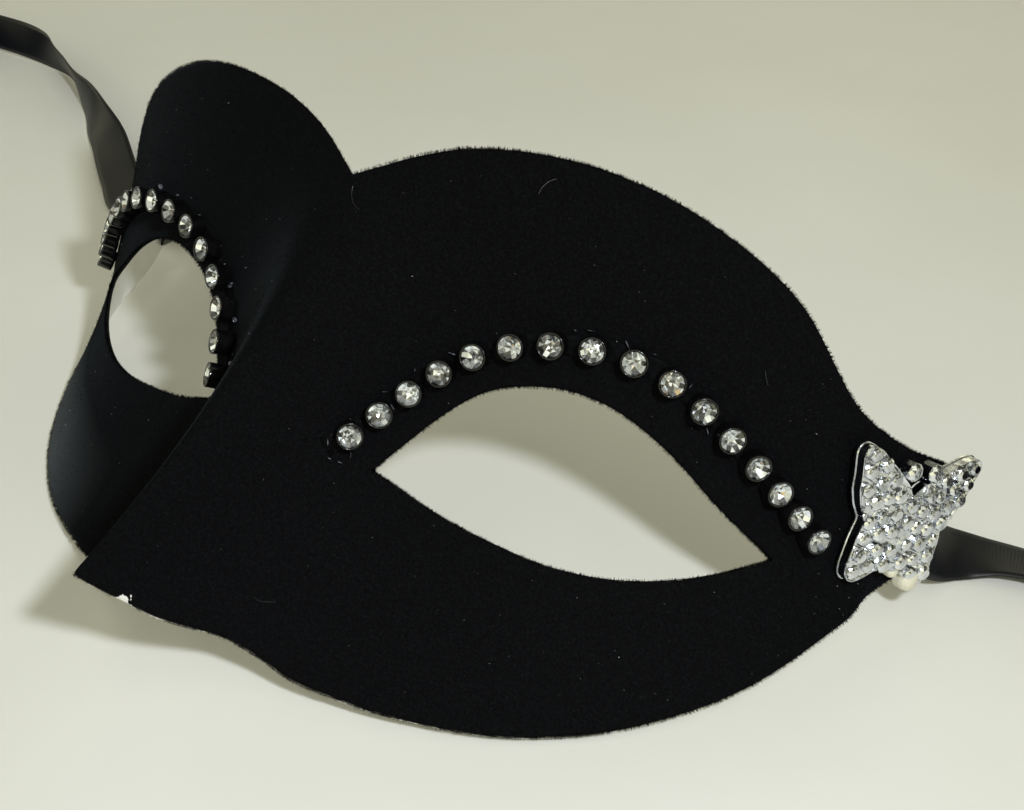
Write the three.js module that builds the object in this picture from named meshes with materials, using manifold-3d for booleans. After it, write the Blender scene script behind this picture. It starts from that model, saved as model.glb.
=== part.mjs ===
// Black flocked masquerade half mask, lying loose on its lower rim, in millimetres with Z up.
// It looks towards -Y and upwards. Left and right are as seen by somebody who faces the mask,
// so right is +X. The origin is on the table, under the middle of the mask without its ribbons.

import * as THREE from 'three';
import { mergeVertices } from 'three/addons/utils/BufferGeometryUtils.js';
import Module from 'manifold-3d';

const wasm = await Module();
wasm.setup();

// Driving dimensions of the moulded shell. Lengths along the face run from its middle line,
// heights run from the level of the inner corners of the eyes.
const HALF_ARC = 106.5;
const WALL = 1.2;
const GAP = 0.3;
const LEAN_BACK = THREE.MathUtils.degToRad(36);

// The face turns away from the middle by these angles, in radians, over one reference length.
const REFERENCE_ARC = 88;
const REFERENCE_RISE = 44;
const TURN = 0.533;
const TURN_WITH_HEIGHT = 0.018;
const TURN_WITH_HEIGHT_SQUARED = 0.06;
const CURL = 0.434;
const CURL_WITH_HEIGHT = 0.091;
const CURL_WITH_HEIGHT_SQUARED = -0.258;

// The brow and the cheek lean forward of the eyes.
const FORWARD_LEAN = 11.4;
const FORWARD_TWIST = -4.54;

// The nose is a ridge that grows from the forehead down to a sharp tip.
const NOSE_REACH = 38.8;
const NOSE_START = 47;
const NOSE_TIP = -10;
const NOSE_POWER = 1.27;
const NOSE_HALF_WIDTH = 7.06;
const NOSE_DROOP = THREE.MathUtils.degToRad(19.7);
const RIDGE_SHARP = 0.05;
const RIDGE_SOFT = 1.6;

// Outlines as [length along the face, height], from the middle to the temple.
const TOP_EDGE = [[0, 40.1], [3.3, 41.8], [8.7, 44.6], [16.3, 47.6], [27.2, 49.8], [40.3, 50.3],
  [54.5, 47.8], [68.6, 41.9], [81.7, 31.1], [92.6, 28.1], [101.3, 27.7], [HALF_ARC, 26.8]];
const BOTTOM_EDGE = [[0, -10], [5.4, -20.4], [10.9, -25.7], [18.5, -31.1], [27.2, -32.4], [38.1, -31.5],
  [51.2, -28.6], [65.4, -22.2], [78.5, -12.8], [91.5, 0.4], [101.3, 8.8], [HALF_ARC, 12.4]];
const END_ROUNDING = 5;

// The almond eye holes, from the inner to the outer corner.
const EYE_UPPER = [[16.5, 0], [26.3, 13.8], [36.2, 19], [46, 19.6], [55.8, 16.4], [65.7, 10.9], [75.5, 6.4]];
const EYE_LOWER = [[16.5, 0], [26.3, -3.4], [36.2, -4.8], [46, -5], [55.8, -3.3], [65.7, 0.6], [75.5, 6.4]];

// How the leaning mask and its ribbons are moved so that the origin is under the mask's middle.
const SET_BACK = 5.13;
const ORIGIN_SHIFT = [1.25, -1.5, 0];

// The flat tab at each temple's end, which carries the ribbon inside.
const TAB_START = 97;
const TAB_BLEND = 5;
const TAB_HEIGHT = 18.5;

// The row of foiled stones over each eye, glued on by hand: the line it follows, how far along that
// line some of its stones sit, as [stone, distance], and how far they lean outwards, in degrees.
const STONES = 16;
const ROWS = {
  right: {
    side: 1,
    line: [[12.3, 5.1], [25.7, 20.2], [39.2, 26.3], [52.6, 26.6], [66.1, 20.2], [79.5, 11.8]],
    spacing: [[0, 0], [3, 17.1], [6, 34.6], [9, 52], [12, 68.4], [15, 82.6]],
    lean: [[0, 0], [7, 0], [11, 9], [15, 14]],
  },
  left: {
    side: -1,
    line: [[13, 5], [18, 13.4], [27.9, 21.5], [40.1, 25.1], [52, 25.3], [66, 21.2], [83.2, 10.2]],
    spacing: [[0, 0], [3, 17.9], [6, 37.2], [9, 57.2], [12, 71.5], [15, 84.9]],
    lean: [[0, -5], [7, -5], [11, -8], [15, -13]],
  },
};
const STRIP_WIDTH = 3;
const STRIP_THICK = 0.6;
const CUP_RADIUS = 2.05;
const CUP_HEIGHT = 2.8;
const CUP_BORE = 1.78;
const CUP_FLOOR = 1.1;
const STONE_RADIUS = 1.55;
const STONE_TABLE = 0.9;
const STONE_TOP = 3.2;
const CUP_SINK = 0.25;
const ROUND_SIDES = 6;

// The moulded butterfly on each temple, drawn as its right half from the top notch downwards.
const BUTTERFLIES = {
  right: { length: 94.3, height: 18.6, turn: THREE.MathUtils.degToRad(7.5) },
  left: { length: -100, height: 20.5, turn: THREE.MathUtils.degToRad(38) },
};
const BUTTERFLY_THICK = 1.9;
const WING = [[0, 3.4], [1.3, 5], [5.2, 7.4], [9.8, 9.9], [11.8, 10.4], [13, 9.9], [13.4, 8.6],
  [12.3, 5.2], [11.9, 3.2], [10.6, 0.8], [8.8, -1.2], [9.3, -4.2], [9.4, -8.4], [9, -10],
  [7.8, -10.9], [6.4, -10.9], [4.6, -10.1], [2.9, -9], [0, -8.8]];
const NOTCH_STUDS = [[-2.2, 6.5], [2.4, 6.7]];
const NOTCH_STUD_RADIUS = 1.25;
const NOTCH_STUD_TOP_RADIUS = 0.9;
const STUD_RADIUS = 1.1;
const STUD_TOP_RADIUS = 0.55;
const STUD_HEIGHT = 0.9;
const STUD_PITCH = 2.45;
const STUD_SIDES = 5;

// The satin tie ribbons, glued inside the tabs. Their routes are [x, y, z, tilt in degrees], with
// tilt 0 where the ribbon lies flat and 90 where it stands on an edge. The rest is wound in a coil.
const RIBBON_WIDTH = 10;
const RIBBON_THICK = 0.6;
const RIBBON_RIGHT = [[83.75, 41.41, 13.04, -72], [84.85, 42.95, 9.85, -72], [85.5, 45.2, 6.8, -66],
  [86.1, 47.8, 4.6, -50], [87.1, 50.4, 3.1, -32], [89.1, 52.8, 1.9, -13], [92.6, 54.9, 1.4, 3],
  [97.5, 56.3, 1.5, 11], [103.5, 56.9, 1.8, 14], [112, 57.2, 3, 30], [121, 57.2, 4.6, 54],
  [131, 57.2, 5.4, 80], [142, 57.2, 5.4, 90]];
const RIBBON_LEFT = [[-83.65, 42.3, 16.8, 79], [-84.52, 44.2, 16, 79], [-85.85, 47.2, 15, 79],
  [-87.9, 51.8, 13.3, 78], [-91.3, 55.8, 11, 70], [-97.2, 58.2, 8.2, 56], [-105.5, 59.5, 5.5, 40],
  [-115.2, 61.3, 3.1, 24], [-124.7, 64.7, 1.7, 12.5], [-133.8, 70.9, 1.7, 9], [-143.4, 77.4, 2.5, 12],
  [-153.3, 84.1, 3.6, 26], [-164, 89.9, 4.7, 50], [-174.7, 96.1, 5.4, 72], [-185.7, 101.4, 5.4, 92],
  [-196.2, 107.6, 5.6, 104], [-206.8, 112.7, 5.4, 104], [-217.9, 116.4, 5.4, 82],
  [-230.1, 118.2, 5.5, 67], [-243, 118.2, 5.6, 68], [-253, 118.2, 5.5, 80], [-264, 118.2, 5.4, 90]];
const COIL_OUTER = 30.4;
const COIL_HEIGHT = 10.6;
const COIL_RIGHT = { x: 142, y: 88.2, inner: 20.4 };
const COIL_LEFT = { x: -264, y: 87.2, inner: 23.4 };

// A smooth height over the length along the face, through the given points.
function smoothThrough(points) {
  const slope = (i, j) => (points[j][1] - points[i][1]) / (points[j][0] - points[i][0]);
  const last = points.length - 1;
  const tangents = points.map((point, i) => {
    if (i === 0) return slope(0, 1) * 1.5 - 0.5 * (slope(1, 2) * 0.5 + slope(0, 1) * 0.5);
    if (i === last) return slope(last - 1, last);
    const before = point[0] - points[i - 1][0];
    const after = points[i + 1][0] - point[0];
    return (slope(i - 1, i) * after + slope(i, i + 1) * before) / (before + after);
  });
  return (length) => {
    let i = 0;
    while (i < last - 1 && length > points[i + 1][0]) i += 1;
    const span = points[i + 1][0] - points[i][0];
    const t = (length - points[i][0]) / span;
    const rise = t * t * (3 - 2 * t);
    return points[i][1] * (1 - rise) + points[i + 1][1] * rise
      + tangents[i] * span * t * (1 - t) * (1 - t) - tangents[i + 1] * span * t * t * (1 - t);
  };
}

// The curved face, before its temple ends are made flat. x runs across, y up and z forward.
function curvedFace(length, height) {
  const rise = height / REFERENCE_RISE;
  const turn = TURN + TURN_WITH_HEIGHT * rise + TURN_WITH_HEIGHT_SQUARED * rise ** 2;
  const curl = CURL + CURL_WITH_HEIGHT * rise + CURL_WITH_HEIGHT_SQUARED * rise ** 2;
  const steps = 24;
  const step = Math.abs(length) / steps;
  let across = 0;
  let back = 0;
  for (let i = 0; i < steps; i += 1) {
    const t = (i + 0.5) * step / REFERENCE_ARC;
    const angle = turn * t + curl * t ** 3;
    across += Math.cos(angle) * step;
    back += Math.sin(angle) * step;
  }
  const lean = FORWARD_LEAN * rise ** 2 + FORWARD_TWIST * rise ** 3;
  const down = THREE.MathUtils.clamp((NOSE_START - height) / (NOSE_START - NOSE_TIP), 0, 1.3) ** NOSE_POWER;
  const blunt = RIDGE_SHARP + RIDGE_SOFT * Math.max(0, 1 - down) ** 1.5;
  const ridge = Math.exp(blunt - Math.hypot(length / NOSE_HALF_WIDTH, blunt));
  const nose = NOSE_REACH * down * ridge;
  return new THREE.Vector3(Math.sign(length) * across,
    height - nose * Math.sin(NOSE_DROOP), lean - back + nose * Math.cos(NOSE_DROOP));
}

function slopes(surface, length, height) {
  const e = 0.1;
  const along = surface(length + e, height).sub(surface(length - e, height)).normalize();
  const up = surface(length, height + e).sub(surface(length, height - e)).normalize();
  const out = along.clone().cross(up).normalize();
  return { along, up: out.clone().cross(along), out };
}

const tabOrigin = curvedFace(TAB_START, TAB_HEIGHT);
const tabSlopes = slopes(curvedFace, TAB_START, TAB_HEIGHT);

// The face with its ends made flat, for the right half and mirrored for the left.
function face(length, height) {
  const reach = Math.abs(length);
  const point = curvedFace(reach, height);
  const flat = THREE.MathUtils.smoothstep(reach, TAB_START - TAB_BLEND, TAB_START);
  if (flat > 0) {
    const onTab = tabOrigin.clone().addScaledVector(tabSlopes.along, reach - TAB_START)
      .addScaledVector(tabSlopes.up, height - TAB_HEIGHT);
    point.lerp(onTab, flat);
  }
  if (length < 0) point.x = -point.x;
  return point;
}

// A point at a distance in front of the face.
function above(length, height, distance) {
  return face(length, height).addScaledVector(slopes(face, length, height).out, distance);
}

const topEdge = smoothThrough(TOP_EDGE);
const bottomEdge = smoothThrough(BOTTOM_EDGE);

// A box geometry whose corners are moved by a function of three numbers from 0 to 1.
function bentBox(columns, rows, layers, place) {
  const geometry = new THREE.BoxGeometry(1, 1, 1, columns, rows, layers);
  const position = geometry.attributes.position;
  for (let i = 0; i < position.count; i += 1) {
    const moved = place(position.getX(i) + 0.5, position.getY(i) + 0.5, position.getZ(i) + 0.5);
    position.setXYZ(i, moved.x, moved.y, moved.z);
  }
  return geometry;
}

// A closed mesh with shared corners, no empty triangles and its faces pointing out.
function closed(geometry) {
  geometry.deleteAttribute('normal');
  geometry.deleteAttribute('uv');
  const merged = mergeVertices(geometry, 1e-4);
  const index = merged.index.array;
  const position = merged.attributes.position;
  const corners = [new THREE.Vector3(), new THREE.Vector3(), new THREE.Vector3()];
  const kept = [];
  let volume = 0;
  for (let i = 0; i < index.length; i += 3) {
    const [a, b, c] = [index[i], index[i + 1], index[i + 2]];
    if (a === b || b === c || c === a) continue;
    corners.forEach((corner, k) => corner.fromBufferAttribute(position, index[i + k]));
    volume += corners[0].dot(corners[1].clone().cross(corners[2]));
    kept.push(a, b, c);
  }
  if (volume < 0) kept.reverse();
  merged.setIndex(kept);
  return merged;
}

function toManifold(geometry) {
  const mesh = closed(geometry);
  return new wasm.Manifold(new wasm.Mesh({
    numProp: 3,
    vertProperties: new Float32Array(mesh.attributes.position.array),
    triVerts: new Uint32Array(mesh.index.array),
  }));
}

function fromManifold(manifold) {
  const { vertProperties, triVerts } = manifold.getMesh();
  const geometry = new THREE.BufferGeometry();
  geometry.setAttribute('position', new THREE.BufferAttribute(vertProperties, 3));
  geometry.setIndex(new THREE.BufferAttribute(triVerts, 1));
  return geometry;
}

function named(name, geometry, material) {
  const mesh = new THREE.Mesh(geometry, material);
  mesh.name = name;
  return mesh;
}

// The shell: one wall that follows the face between its two outlines, with both eyes cut out.
function shellGeometry() {
  const columns = 64;
  const rows = 12;
  const wall = bentBox(columns, rows, 1, (a, b, depth) => {
    const share = Math.abs(2 * a - 1);
    const length = Math.sign(2 * a - 1) * HALF_ARC * share * (0.55 + 0.45 * share);
    const reach = Math.abs(length);
    const middle = (topEdge(reach) + bottomEdge(reach)) / 2;
    const intoEnd = Math.max(0, reach - HALF_ARC + END_ROUNDING) / (END_ROUNDING + 1.2);
    const half = (topEdge(reach) - middle) * Math.sqrt(1 - intoEnd ** 2);
    return above(length, middle + half * (2 * b - 1), -WALL * (1 - depth));
  });
  let shell = toManifold(wall);
  for (const side of [1, -1]) shell = shell.subtract(toManifold(eyeCutter(side)));
  return fromManifold(shell);
}

function eyeCutter(side) {
  const upper = smoothThrough(EYE_UPPER);
  const lower = smoothThrough(EYE_LOWER);
  const inner = EYE_UPPER[0][0];
  const outer = EYE_UPPER[EYE_UPPER.length - 1][0];
  const reach = 3;
  return bentBox(26, 4, 1, (a, b, depth) => {
    const length = inner + (outer - inner) * a;
    const height = lower(length) + (upper(length) - lower(length)) * b;
    return above(side * length, height, -WALL / 2 + reach * (2 * depth - 1));
  });
}

// A stone row: places beside and above its line, by true distance along the face.
function makeRow({ side, line, spacing, lean }) {
  const heightAt = smoothThrough(line);
  const start = line[0][0];
  const end = line[line.length - 1][0];
  const samples = 200;
  const track = [];
  for (let i = 0; i <= samples; i += 1) {
    const length = start + (end - start) * i / samples;
    const point = face(length, heightAt(length));
    const walked = i === 0 ? 0 : track[i - 1].walked + point.distanceTo(track[i - 1].point);
    track.push({ length, point, walked });
  }
  const whole = track[samples].walked;

  const along = (walked) => {
    if (walked <= 0) return start + walked * 0.75;
    if (walked >= whole) return end + (walked - whole) * 0.8;
    const next = track.findIndex((sample) => sample.walked >= walked);
    const [a, b] = [track[next - 1], track[next]];
    return a.length + (b.length - a.length) * (walked - a.walked) / (b.walked - a.walked);
  };

  const beside = (walked, aside, distance) => {
    const here = along(walked);
    const there = along(walked + 0.2);
    const point = face(side * here, heightAt(here));
    const ahead = face(side * there, heightAt(there)).sub(point).normalize();
    const out = slopes(face, side * here, heightAt(here)).out;
    const across = out.clone().cross(ahead).normalize();
    return point.addScaledVector(across, aside).addScaledVector(out, distance);
  };

  const distanceOf = smoothThrough(spacing);
  const leanOf = smoothThrough(lean);
  const stones = [...Array(STONES).keys()].map((number) => (
    { walked: distanceOf(number), lean: THREE.MathUtils.degToRad(leanOf(number)) }));
  return { beside, whole, stones };
}

// The place and turn of one cup: its Y axis stands on the face, apart from its lean.
function cupMatrix(row, { walked, lean }) {
  const lift = GAP + CUP_SINK + CUP_RADIUS * Math.abs(Math.sin(lean)) / 2;
  const foot = row.beside(walked, 0, lift);
  const out = row.beside(walked, 0, lift + 1).sub(foot).normalize();
  const across = row.beside(walked, 1, lift).sub(foot).normalize();
  const basis = new THREE.Matrix4().makeBasis(out.clone().cross(across), out, across);
  return basis.setPosition(foot).multiply(new THREE.Matrix4().makeRotationZ(lean));
}

function lathe(profile, sides) {
  return new THREE.LatheGeometry(profile.map(([radius, height]) => new THREE.Vector2(radius, height)), sides);
}

function cupGeometry() {
  return lathe([[0, 0], [CUP_RADIUS, 0], [CUP_RADIUS, CUP_HEIGHT], [CUP_BORE, CUP_HEIGHT],
    [CUP_BORE, CUP_FLOOR], [0, CUP_FLOOR]], ROUND_SIDES);
}

function stoneGeometry() {
  const belt = CUP_HEIGHT - 0.2;
  return lathe([[0, CUP_FLOOR + GAP], [STONE_RADIUS, belt - 0.3], [STONE_RADIUS, belt],
    [STONE_TABLE, STONE_TOP], [0, STONE_TOP]], ROUND_SIDES);
}

function stripGeometry(row) {
  const margin = CUP_RADIUS + 0.4;
  const band = bentBox(30, 1, 1, (a, b, depth) => row.beside(
    -margin + (row.whole + 2 * margin) * a, STRIP_WIDTH * (b - 0.5), GAP + STRIP_THICK * depth));
  let strip = toManifold(band);
  for (const stone of row.stones) {
    strip = strip.add(toManifold(cupGeometry().applyMatrix4(cupMatrix(row, stone))));
  }
  return fromManifold(strip);
}

// The butterfly: a flat plate with four wings, covered with small faceted studs.
function wingShape() {
  const right = WING.map(([x, y]) => new THREE.Vector2(x, y));
  const left = right.slice(1, -1).reverse().map((point) => new THREE.Vector2(-point.x, point.y));
  return new THREE.Shape([...right, ...left]);
}

function inside(outline, x, y) {
  let odd = false;
  outline.forEach((a, i) => {
    const b = outline[(i + 1) % outline.length];
    if ((a.y > y) !== (b.y > y) && x < (b.x - a.x) * (y - a.y) / (b.y - a.y) + a.x) odd = !odd;
  });
  return odd;
}

function studPlaces(outline) {
  const places = [];
  const rowStep = STUD_PITCH * 0.87;
  for (let row = -6; row <= 6; row += 1) {
    for (let column = -6; column <= 6; column += 1) {
      const x = (column + (row % 2 === 0 ? 0 : 0.5)) * STUD_PITCH;
      const y = row * rowStep;
      const clear = [0, 1, 2, 3, 4, 5].every((k) => {
        const turn = k * Math.PI / 3;
        return inside(outline, x + 1.05 * Math.cos(turn), y + 1.05 * Math.sin(turn));
      });
      if (clear) places.push([x, y]);
    }
  }
  return places;
}

function butterflyGeometry({ length, height, turn }) {
  const shape = wingShape();
  const plate = new THREE.ExtrudeGeometry(shape, { depth: BUTTERFLY_THICK, bevelEnabled: false });
  let body = toManifold(plate);
  for (const [x, y] of studPlaces(shape.getPoints())) {
    const stud = new THREE.CylinderGeometry(STUD_TOP_RADIUS, STUD_RADIUS, STUD_HEIGHT + 0.2, STUD_SIDES);
    stud.rotateX(Math.PI / 2);
    stud.translate(x, y, BUTTERFLY_THICK + STUD_HEIGHT / 2 - 0.1);
    body = body.add(toManifold(stud));
  }
  for (const [x, y] of NOTCH_STUDS) {
    const height = BUTTERFLY_THICK + STUD_HEIGHT;
    const stud = new THREE.CylinderGeometry(NOTCH_STUD_TOP_RADIUS, NOTCH_STUD_RADIUS, height, STUD_SIDES);
    stud.rotateX(Math.PI / 2);
    stud.translate(x, y, height / 2);
    body = body.add(toManifold(stud));
  }
  const { along, up, out } = slopes(face, length, height);
  const place = new THREE.Matrix4().makeBasis(along, up, out);
  place.setPosition(above(length, height, GAP));
  place.multiply(new THREE.Matrix4().makeRotationZ(turn));
  return fromManifold(body).applyMatrix4(place);
}

// A flat ribbon along its route, with its end faces square to it.
function ribbonGeometry(route, steps) {
  const walked = [0];
  for (let i = 1; i < route.length; i += 1) {
    const [before, here] = [route[i - 1], route[i]];
    walked.push(walked[i - 1] + Math.hypot(here[0] - before[0], here[1] - before[1], here[2] - before[2]));
  }
  const whole = walked[walked.length - 1];
  const track = (k) => smoothThrough(route.map((stop, i) => [walked[i], stop[k]]));
  const [x, y, z, tilt] = [track(0), track(1), track(2), track(3)];
  const middle = (distance) => new THREE.Vector3(x(distance), y(distance), z(distance));
  return bentBox(steps, 1, 1, (a, b, depth) => {
    const here = whole * a;
    const ahead = middle(Math.min(whole, here + 0.2)).sub(middle(Math.max(0, here - 0.2))).normalize();
    const level = ahead.clone().cross(new THREE.Vector3(0, 0, 1)).normalize();
    const rising = level.clone().cross(ahead);
    const turn = THREE.MathUtils.degToRad(tilt(here));
    const across = level.multiplyScalar(Math.cos(turn)).addScaledVector(rising, Math.sin(turn));
    const face = ahead.cross(across);
    return middle(here).addScaledVector(across, RIBBON_WIDTH * (b - 0.5))
      .addScaledVector(face, RIBBON_THICK * (depth - 0.5));
  });
}

function coilGeometry({ x, y, inner }) {
  const ring = new THREE.LatheGeometry([[inner, 0], [COIL_OUTER, 0], [COIL_OUTER, COIL_HEIGHT],
    [inner, COIL_HEIGHT], [inner, 0]].map(([radius, height]) => new THREE.Vector2(radius, height)), 40);
  ring.rotateX(Math.PI / 2);
  return ring.translate(x, y, 0);
}

const flock = new THREE.MeshStandardMaterial({ color: 0x08090b, roughness: 0.95, metalness: 0 });
const cupPlastic = new THREE.MeshStandardMaterial({ color: 0x050505, roughness: 0.2, metalness: 0 });
const crystal = new THREE.MeshStandardMaterial({ color: 0xe8ebef, roughness: 0.05, metalness: 0.3 });
const silver = new THREE.MeshStandardMaterial({ color: 0xd5d6d8, roughness: 0.18, metalness: 1 });
const satin = new THREE.MeshStandardMaterial({ color: 0x121314, roughness: 0.45, metalness: 0 });

// The mask is built upright and leans back onto its lower rim.
const mask = new THREE.Group();
mask.add(named('mask_shell', shellGeometry(), flock));
for (const label of ['right', 'left']) {
  const row = makeRow(ROWS[label]);
  mask.add(named(`brow_strip_${label}`, stripGeometry(row), cupPlastic));
  row.stones.forEach((stone, i) => {
    const number = String(i + 1).padStart(2, '0');
    const cut = stoneGeometry().applyMatrix4(cupMatrix(row, stone));
    mask.add(named(`stone_${label}_${number}`, closed(cut), crystal));
  });
  mask.add(named(`butterfly_${label}`, butterflyGeometry(BUTTERFLIES[label]), silver));
}
mask.rotation.x = Math.PI / 2 - LEAN_BACK;
mask.updateMatrixWorld(true);
const box = new THREE.Box3().setFromObject(mask, true);
mask.position.set(0, -SET_BACK, -box.min.z);

const laid = new THREE.Group();
laid.add(mask);
laid.add(named('ribbon_right', closed(ribbonGeometry(RIBBON_RIGHT, 32)), satin));
laid.add(named('ribbon_right_coil', closed(coilGeometry(COIL_RIGHT)), satin));
laid.add(named('ribbon_left', closed(ribbonGeometry(RIBBON_LEFT, 60)), satin));
laid.add(named('ribbon_left_coil', closed(coilGeometry(COIL_LEFT)), satin));
laid.position.set(...ORIGIN_SHIFT);

const part = new THREE.Group();
part.add(laid);
part.updateMatrixWorld(true);

export default part;
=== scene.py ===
# %% [markdown]
# # A flocked half mask with stones, butterflies and tie ribbons
#
# The mask is one thin moulded shell with black flock on its front. A row of foiled stones sits in
# black cups over each eye, a silver butterfly is glued on each temple, and a satin ribbon is glued
# behind each temple. It lies on its lower rim and looks towards -Y and upwards.
#
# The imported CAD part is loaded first. It is the fixed frame: the pieces below are made in metres in
# the same place. Most replace a plain solid, and the fuzz, lint, glue and worn edge are added to them.

import math

import bmesh
import bpy
import numpy as np
from mathutils import Matrix, Vector


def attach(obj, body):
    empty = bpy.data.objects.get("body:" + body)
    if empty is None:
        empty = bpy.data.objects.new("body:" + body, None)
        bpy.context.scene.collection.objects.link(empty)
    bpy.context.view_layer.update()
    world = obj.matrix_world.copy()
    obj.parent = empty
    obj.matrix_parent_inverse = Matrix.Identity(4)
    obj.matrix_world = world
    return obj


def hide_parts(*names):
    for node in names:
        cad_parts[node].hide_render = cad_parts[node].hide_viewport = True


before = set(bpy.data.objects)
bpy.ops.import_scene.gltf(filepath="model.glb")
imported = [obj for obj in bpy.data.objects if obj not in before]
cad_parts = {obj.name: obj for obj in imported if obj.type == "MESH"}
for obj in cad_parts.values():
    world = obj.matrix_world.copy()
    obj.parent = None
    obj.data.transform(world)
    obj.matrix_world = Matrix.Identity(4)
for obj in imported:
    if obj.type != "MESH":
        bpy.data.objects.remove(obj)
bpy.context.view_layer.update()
MM = 0.001
SHIFT = Vector((1.25, -1.5, 0)) * MM

# %% [markdown]
# ## The camera
#
# The camera stands close above the mask's right cheek, so the near eye looks much larger than the
# far one. Its place and its three directions are given as a matrix, which is exact, where an aim
# and a roll angle would have to be tuned against each other.

# %% Camera
RIGHT = Vector((0.821287, 0.570479, -0.006415))
DOWN = Vector((0.324805, -0.476789, -0.816807))
LOOK = Vector((-0.46903, 0.66875, -0.576875))

camera = bpy.data.objects.new("camera", bpy.data.cameras.new("camera"))
bpy.context.scene.collection.objects.link(camera)
turn = Matrix((RIGHT, -DOWN, -LOOK)).transposed().to_4x4()
camera.matrix_world = Matrix.Translation(Vector((0.120956, -0.120726, 0.145601)) + SHIFT) @ turn
camera.data.sensor_width = 36
camera.data.lens = 45.88
camera.data.clip_start = 0.01
bpy.context.scene.camera = camera
print("camera at", [round(v, 3) for v in camera.location])

# %% [markdown]
# ## Smooth lines through a few points
#
# Every outline and every ribbon is given by a few points. One helper runs a smooth
# line through them: between two points it blends their heights and their slopes. It takes whole
# arrays, so thousands of places are worked out at once.

# %% Smooth line
def smooth_through(points):
    x, y = np.array(points, float).T
    step = np.diff(x)
    slope = np.diff(y) / step
    lean = np.empty(len(x))
    lean[1:-1] = (slope[:-1] * step[1:] + slope[1:] * step[:-1]) / (step[:-1] + step[1:])
    lean[0] = 1.25 * slope[0] - 0.25 * slope[1]
    lean[-1] = slope[-1]

    def height(at):
        at = np.asarray(at, float)
        i = np.clip(np.searchsorted(x, at) - 1, 0, len(step) - 1)
        t = (at - x[i]) / step[i]
        rise = t * t * (3 - 2 * t)
        return (y[i] * (1 - rise) + y[i + 1] * rise + lean[i] * step[i] * t * (1 - t) ** 2
                - lean[i + 1] * step[i] * t * t * (1 - t))
    return height


# %% [markdown]
# ## Small helpers for materials and pieces
#
# A material is a Principled shader with a few nodes before it. Values that are the same all over
# go straight on the shader's sockets, and only what changes over the surface comes from nodes.

# %% Material helpers
def new_material(name, **sockets):
    material = bpy.data.materials.new(name)
    material.use_nodes = True
    shader = material.node_tree.nodes["Principled BSDF"]
    for socket, value in sockets.items():
        shader.inputs[socket.replace("_", " ")].default_value = value
    return material, material.node_tree, shader


def add_node(tree, kind, inputs=None, **settings):
    node = tree.nodes.new(kind)
    for setting, value in settings.items():
        setattr(node, setting, value)
    for socket, value in (inputs or {}).items():
        if isinstance(value, bpy.types.NodeSocket):
            tree.links.new(value, node.inputs[socket])
        else:
            node.inputs[socket].default_value = value
    return node


def add_ramp(tree, factor, stops):
    ramp = add_node(tree, "ShaderNodeValToRGB", {"Fac": factor})
    elements = ramp.color_ramp.elements
    while len(elements) < len(stops):
        elements.new(0.5)
    for element, (position, colour) in zip(elements, stops):
        element.position = position
        element.color = (*colour, 1) if len(colour) == 3 else colour
    return ramp.outputs["Color"]


def calculate(tree, operation, *values):
    return add_node(tree, "ShaderNodeMath", dict(enumerate(values)), operation=operation).outputs[0]


def fade(tree, value, start, end, low=0.0, high=1.0):
    return add_node(tree, "ShaderNodeMapRange", {
        "Value": value, "From Min": start, "From Max": end, "To Min": low, "To Max": high}).outputs[0]


def mix(tree, share, under, over, **settings):
    return add_node(tree, "ShaderNodeMix", {0: share, 6: under, 7: over}, data_type="RGBA",
                    **settings).outputs[2]


def object_coordinates(tree):
    return add_node(tree, "ShaderNodeTexCoord").outputs["Object"]


# %% Piece helper
def new_piece(name, bm, materials, smooth=True):
    mesh = bpy.data.meshes.new(name)
    bm.to_mesh(mesh)
    bm.free()
    mesh.polygons.foreach_set("use_smooth", [smooth] * len(mesh.polygons))
    for material in materials:
        mesh.materials.append(material)
    piece = bpy.data.objects.new(name, mesh)
    bpy.context.scene.collection.objects.link(piece)
    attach(piece, "root")
    return piece


# %% [markdown]
# ## Satin ribbon
#
# A tie ribbon is a flat woven band, so it is a thin strip of its width, thickened by a Solidify
# modifier. Its route is the one that the CAD solid follows: points with a tilt, 0 where it lies flat
# and 90 where it stands on an edge. Only a short stretch of each ribbon shows. The rest is wound on
# the table behind the mask, in a loose coil that stands on edge.

# %% Ribbon routes
RIBBON_LENGTH = 0.45
RIBBON_WIDTH = 10
RIBBON_THICK = 0.32
ROUTE_RIGHT = [[83.75, 41.41, 13.04, -72], [84.85, 42.95, 9.85, -72], [85.5, 45.2, 6.8, -66],
               [86.1, 47.8, 4.6, -50], [87.1, 50.4, 3.1, -32], [89.1, 52.8, 1.9, -13],
               [92.6, 54.9, 1.4, 3], [97.5, 56.3, 1.5, 11], [103.5, 56.9, 1.8, 14],
               [112, 57.2, 3, 30], [121, 57.2, 4.6, 54], [131, 57.2, 5.4, 80], [142, 57.2, 5.4, 90]]
ROUTE_LEFT = [[-83.65, 42.3, 16.8, 79], [-84.52, 44.2, 16, 79], [-85.85, 47.2, 15, 79],
              [-87.9, 51.8, 13.3, 78], [-91.3, 55.8, 11, 70], [-97.2, 58.2, 8.2, 56],
              [-105.5, 59.5, 5.5, 40], [-115.2, 61.3, 3.1, 24], [-124.7, 64.7, 1.7, 12.5],
              [-133.8, 70.9, 1.7, 9], [-143.4, 77.4, 2.5, 12], [-153.3, 84.1, 3.6, 26],
              [-164, 89.9, 4.7, 50], [-174.7, 96.1, 5.4, 72], [-185.7, 101.4, 5.4, 92],
              [-196.2, 107.6, 5.6, 104], [-206.8, 112.7, 5.4, 104], [-217.9, 116.4, 5.4, 82],
              [-230.1, 118.2, 5.5, 67], [-243, 118.2, 5.6, 68], [-253, 118.2, 5.5, 80],
              [-264, 118.2, 5.4, 90]]
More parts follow.
